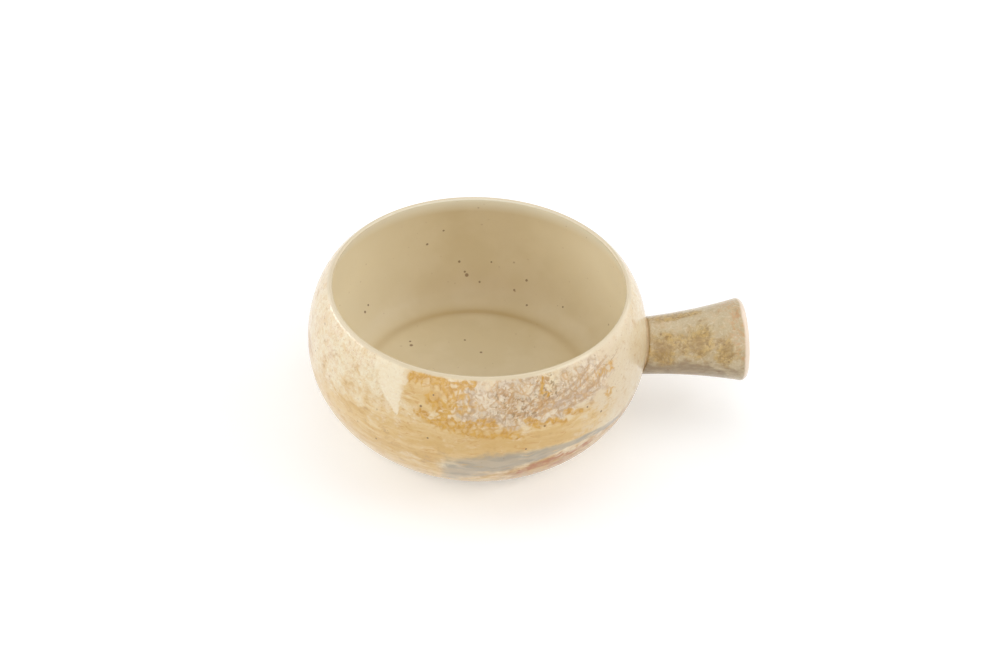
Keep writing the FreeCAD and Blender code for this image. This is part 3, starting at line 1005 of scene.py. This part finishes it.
# Bent lines of the bowl's glaze, as veins() takes them.
OCHRE_VEINS = [
    (2.2, (-26, 59.2), (-17, 60), (-13, 58), (-10.5, 54), (-10.5, 51.5), (-14, 50)),
    (1.9, (-4.5, 60), (-9, 59), (-13, 58)),
    (2.8, (-18.5, 54), (-16.5, 52.5), (-14.5, 51)),
    (1.9, (-22, 48.5), (-18, 46.8), (-11.5, 44.6), (-9, 44.2), (-5, 46), (0, 47.3), (3, 46.6)),
    (1.2, (-14.5, 47.8), (-10, 47.4), (-6.5, 45.6)),
    (1.4, (-5, 42.4), (0, 41.6), (6, 41.6), (11, 39.8)),
    (1.7, (13.5, 46.6), (17.5, 43.6), (21.5, 44.6), (26, 42.2)),
    (1.4, (26.5, 46.4), (32, 43.8)),
    (0.9, (20, 59.5), (18.5, 55.5), (22, 54)),
    (2.2, (142, 54), (150, 52), (156, 55), (166, 51), (178, 50)),
    (1.9, (146, 46), (158, 44), (170, 45), (184, 42)),
    (1.8, (-160, 52), (-152, 54), (-140, 51), (-134, 53)),
    (1.7, (96, 50), (104, 53), (112, 51), (120, 54)),
]
LONG_VEINS = [
    (0.65, (10, 49.4), (20, 50.7), (29, 51.1), (41, 51.6)),
    (0.65, (14, 47.6), (20, 48.8), (26, 49.7), (35, 50.4), (44, 54.2)),
    (0.55, (16, 51.8), (25, 53.2), (33, 55.6), (39, 58.2)),
    (0.55, (22, 50), (30, 52.6), (38, 55.2), (47, 57.6)),
    (0.55, (24, 47), (32, 48.2), (40, 49)),
    (0.55, (128, 44), (140, 46), (156, 47)),
    (0.55, (132, 48), (144, 50), (152, 53)),
]
RUST = [
    (1.9, (13, 20), (17, 22.4), (22, 23.2), (26, 25.4)),
    (1.5, (29, 24), (33, 24.6), (38, 25)),
    (1.2, (24, 18), (32, 20)),
]

NEAR_AXIS = 45  # nearer the axis than this the glaze's coordinates shrink with the radius
WEDGE_FOOT = 43.5  # the height of the foot of the ivory wedge and its painted highlight, from which it opens towards the lip
WEDGE_WIDEST = 7.5  # its largest half width, in degrees
POOL_RADIUS = 44.4  # of the darker ring at the floor's edge: pooled liner glaze and painted shade in the crease


def mark_outer_glaze(piece):
    """Marks the zones of the glaze, its painted highlights, and the seamless coordinates that run round and
    up the ware.

    The coordinates wrap a cylinder of the belly's radius, as high as the way walked up the wall.
    """
    at = places(piece)
    turn, height = turn_and_height(at)
    angle = np.radians(turn)
    radius = np.hypot(at[:, 0], at[:, 1])
    level = np.where(radius > NEAR_AXIS, BELLY_RADIUS, radius * BELLY_RADIUS / NEAR_AXIS)
    outside = (OUTLINE.length >= LIP_OUTSIDE) & (OUTLINE.length <= UNDERSIDE_END)
    walked = BELLY_HEIGHT + BELLY_WIDEST - OUTLINE.length[outside]
    climb = np.interp(height, OUTLINE.points[outside][::-1, 1], walked[::-1])
    mark_vectors(piece, "ware", np.stack([level * np.sin(angle), -level * np.cos(angle), climb], -1))
    for name, patches in PATCHES.items():
        mark(piece, name, most(turn, height, patches))
    washes = 0.5 * most(turn, height, HONEY_WASHES)
    mark(piece, "honey", np.maximum(most(turn, height, HONEY), washes))
    clouds = 0.72 * most(turn, height, OCHRE_CLOUDS)
    mark(piece, "ochre", np.maximum(veins(turn, height, OCHRE_VEINS), clouds))
    front_run = ribbon(turn, height, (29, 30.2), 0.0056, (-14, 56), 28, 8.8, 1.4)
    back_run = 0.7 * ribbon(turn, height, (-168, 30), 0.004, (-212, -128), -140, 5.5, 1.3)
    mark(piece, "grey_run", np.maximum(front_run, back_run))
    mark(piece, "rust", veins(turn, height, RUST))
    mark(piece, "long_veins", veins(turn, height, LONG_VEINS))
    # The ivory wedge and its painted highlight, on the front left below the lip.
    above = height - WEDGE_FOOT
    off = np.abs(turn + 28.6 + 0.42 * above) / np.clip(above * 0.45, 0.1, WEDGE_WIDEST)
    mark(piece, "ivory_wedge_and_highlight", np.clip(1.5 - off, 0, 1) * ease(above, 0.0, 1.5))
    mark(piece, "plain_lip", ease(height, BOWL_HEIGHT - 1.3, BOWL_HEIGHT - 0.3))
    # The painted highlight along the lip's inner edge grows towards the back.
    crest = OUTLINE.at((LIP_INSIDE + LIP_OUTSIDE) / 2)[0]
    far_side = np.sin(angle / 2) ** 6
    mark(piece, "painted_lip_highlight", ease(crest - radius, -0.2, 0.4) * (height > BOWL_HEIGHT - 3) * far_side)


def hump(value, middle, width):
    """1 at the middle and less to both sides: e to the minus square of the distance in widths."""
    return np.exp(-(((value - middle) / width) ** 2))


def mark_liner(piece):
    """Marks the darker ring at the floor's edge, pooled glaze and painted shade in the crease, the
    painted shade low on the back wall, and the paler parts.

    These are the side walls, paler by painted light and sheen, and the band that pales to the lip,
    by thinner glaze and painted light.
    """
    at = places(piece)
    radius = np.hypot(at[:, 0], at[:, 1])
    turn, height = turn_and_height(at)
    side = np.sin(np.radians(turn) / 2) ** 2  # 1 at the back, where the ring of pooled glaze and painted shade is narrow and dark
    pool = hump(radius, POOL_RADIUS, 4.0 - 1.9 * side) * (0.3 + 0.55 * side**3)
    # Painted shade low on the back wall, opposite the front.
    wall = 0.62 * hump(height, 18, 7) * hump((turn + 8) % 360, 180, 28) * (radius > 44)
    mark(piece, "pooled", np.clip(pool + wall, 0, 1) * (height < BELLY_HEIGHT))
    # The side walls' painted light and sheen, fading towards the floor's middle.
    mark(piece, "thin", most(turn, height, SIDE_WALL_LIGHT_PATCHES) * ease(radius, 20, 46))
    # The band that pales to the lip: thinner glaze and painted light.
    mark(piece, "thin_glaze_and_light_near_lip", np.clip((height - BOWL_HEIGHT + 8.0) / 6.5, 0, 1))


def mark_handle(piece):
    """Marks the handle's ochre clouds and deeper spots, its darker mauve lower side (mauve glaze and painted
    shade), rosy far end and pale far lip.
    """
    at = places(piece) - HANDLE_START
    along = at @ ALONG
    way = np.degrees(np.arctan2(at @ SIDE, at @ ACROSS))  # 0 on top, 90 towards the front
    mark_vectors(piece, "shank", at)
    mark(piece, "ochre", most(way, along, HANDLE_OCHRE))
    mark(piece, "deep_ochre", most(way, along, HANDLE_DEEP_OCHRE))
    # The handle's lower side, darker as mauve glaze and painted shade, less so towards the far end.
    mark(piece, "mauve_shaded_underside", ease(np.abs(way), 70, 108) * (1 - 0.5 * ease(along, 20, 34)))
    mark(piece, "salmon", most(way, along, HANDLE_SALMON))
    mark(piece, "far_lip", ease(along, 36.0, 38.2))


# ---------------------------------------------------------------- pieces


def finish_piece(piece, material, node):
    """Gives the piece its material, and its place in the frame."""
    piece.data.materials.append(material)
    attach(piece, "root")
    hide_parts(node)


glaze = reactive_glaze()
clay = make_clay()
finish_piece(clay, bare_clay(), "bowl_body")
outer_coat = make_outer_coat()
mark_outer_glaze(outer_coat)
finish_piece(outer_coat, glaze, "bowl_body")
liner = make_liner_coat()
mark_liner(liner)
finish_piece(liner, liner_glaze(), "bowl_body")
recess = make_recess_coat()
mark_outer_glaze(recess)
finish_piece(recess, glaze, "bowl_body")
handle = make_handle()
mark_handle(handle)
finish_piece(handle, handle_glaze(), "handle")
groove = make_groove()
mark(groove, "lower_half", ease(-places(groove)[:, 2], -31.0, -24.0))
finish_piece(groove, groove_glaze(), "handle_joint")

# ---------------------------------------------------------------- floor, light and camera

WORLD_LEVEL = 0.44  # the even light, where 1 shows a colour as it is written
FLOOR_LIFT = 0.25  # added to the floor near the bowl, and FAR_LIFT past the reach of the lamps
FAR_LIFT = 0.6


def seen_directly(nodes, links):
    """1 for the camera's own rays and for those that glossy or clear surfaces send on, else 0."""
    ray = nodes.new("ShaderNodeLightPath")
    share = ray.outputs["Is Camera Ray"]
    for name in ("Is Glossy Ray", "Is Transmission Ray"):
        either = nodes.new("ShaderNodeMath")
        either.operation = "MAXIMUM"
        links.new(share, either.inputs[0])
        links.new(ray.outputs[name], either.inputs[1])
        share = either.outputs[0]
    return share


def make_floor():
    """A wide plain pale floor at the height of the foot, lifted to white where it is seen."""
    half = 4.0
    corners = [(-half, -half, 0), (half, -half, 0), (half, half, 0), (-half, half, 0)]
    mesh = bpy.data.meshes.new("floor")
    mesh.from_pydata(corners, [], [(0, 1, 2, 3)])
    floor = bpy.data.objects.new("floor", mesh)
    bpy.context.scene.collection.objects.link(floor)
    f = Finish("floor_paper")
    f.shader.inputs["Base Color"].default_value = (0.93, 0.93, 0.93, 1)
    f.shader.inputs["Roughness"].default_value = 0.9
    f.shader.inputs["Specular IOR Level"].default_value = 0.1
    f.shader.inputs["Emission Color"].default_value = (1, 1, 1, 1)
    away = f.add("VectorMath", {0: f.place}, operation="LENGTH")["Value"]
    lift = f.step(away, 350, 1600, FLOOR_LIFT, FAR_LIFT)
    f.put(f.shader.inputs["Emission Strength"], f.times(seen_directly(f.nodes, f.links), lift))
    mesh.materials.append(f.material)


def make_world():
    """Even pale light from all round. The camera and reflections see plain white."""
    world = bpy.data.worlds.new("studio")
    bpy.context.scene.world = world
    world.use_nodes = True
    nodes, links = world.node_tree.nodes, world.node_tree.links
    level = nodes.new("ShaderNodeMapRange")
    level.inputs["To Min"].default_value = WORLD_LEVEL
    level.inputs["To Max"].default_value = 1.0
    links.new(seen_directly(nodes, links), level.inputs["Value"])
    links.new(level.outputs[0], nodes["Background"].inputs["Strength"])
    nodes["Background"].inputs["Color"].default_value = (1, 1, 1, 1)


def softbox(name, turn, elevation, distance, width, height, power, roll=0):
    """A rectangular lamp on a sphere about the bowl's middle, facing it, rolled about that line."""
    lamp = bpy.data.lights.new(name, "AREA")
    lamp.shape = "RECTANGLE"
    lamp.size, lamp.size_y = width, height
    lamp.energy = power
    made = bpy.data.objects.new(name, lamp)
    a, e = math.radians(turn), math.radians(elevation)
    way = Vector((math.sin(a) * math.cos(e), -math.cos(a) * math.cos(e), math.sin(e)))
    aim = Vector((0, 0, BELLY_HEIGHT * MM))
    made.location = aim + way * distance
    facing = way.to_track_quat("Z", "Y") @ Quaternion((0, 0, 1), math.radians(roll))
    made.rotation_euler = facing.to_euler()
    bpy.context.scene.collection.objects.link(made)


def make_camera():
    """The photograph's view: 1000 by 667 pixels, from above the front at a slight roll."""
    place = Vector((-28.8317, -466.0549, 410.7778)) * MM
    aim = Vector((8.7133, -0.5390, 36.04)) * MM
    roll = 0.0466
    focal_pixels = 1553.8
    data = bpy.data.cameras.new("photo_view")
    data.sensor_width = 36.0
    data.lens = focal_pixels * data.sensor_width / 1000
    data.shift_x, data.shift_y = -0.0005, 0.0005
    data.clip_start, data.clip_end = 0.01, 20
    camera = bpy.data.objects.new("photo_view", data)
    forward = (aim - place).normalized()
    right = forward.cross(Vector((0, 0, 1))).normalized()
    up = right.cross(forward)
    right, up = right * math.cos(roll) + up * math.sin(roll), up * math.cos(roll) - right * math.sin(roll)
    camera.matrix_world = Matrix.Translation(place) @ Matrix((right, up, -forward)).transposed().to_4x4()
    bpy.context.scene.collection.objects.link(camera)
    bpy.context.scene.camera = camera


make_floor()
make_world()
# Name, turn, elevation, distance, width and height in metres, power in watts, and roll.
for lamp in (
    ("left_softbox", -105, 26, 1.1, 1.2, 0.9, 3.0),
    ("front_softbox", -14, 30, 1.1, 1.2, 0.9, 3.5),
    ("right_softbox", 100, 30, 1.1, 1.2, 0.9, 3.8),
    ("top_softbox", 160, 75, 1.2, 0.9, 0.9, 2.0),
    ("left_strip", -108, 21, 1.1, 0.8, 0.06, 0.9, 31),
    ("right_strip", 66, 41, 1.1, 0.7, 0.06, 0.9, -23),
):
    softbox(*lamp)
make_camera()
bpy.context.scene.view_settings.view_transform = "Standard"
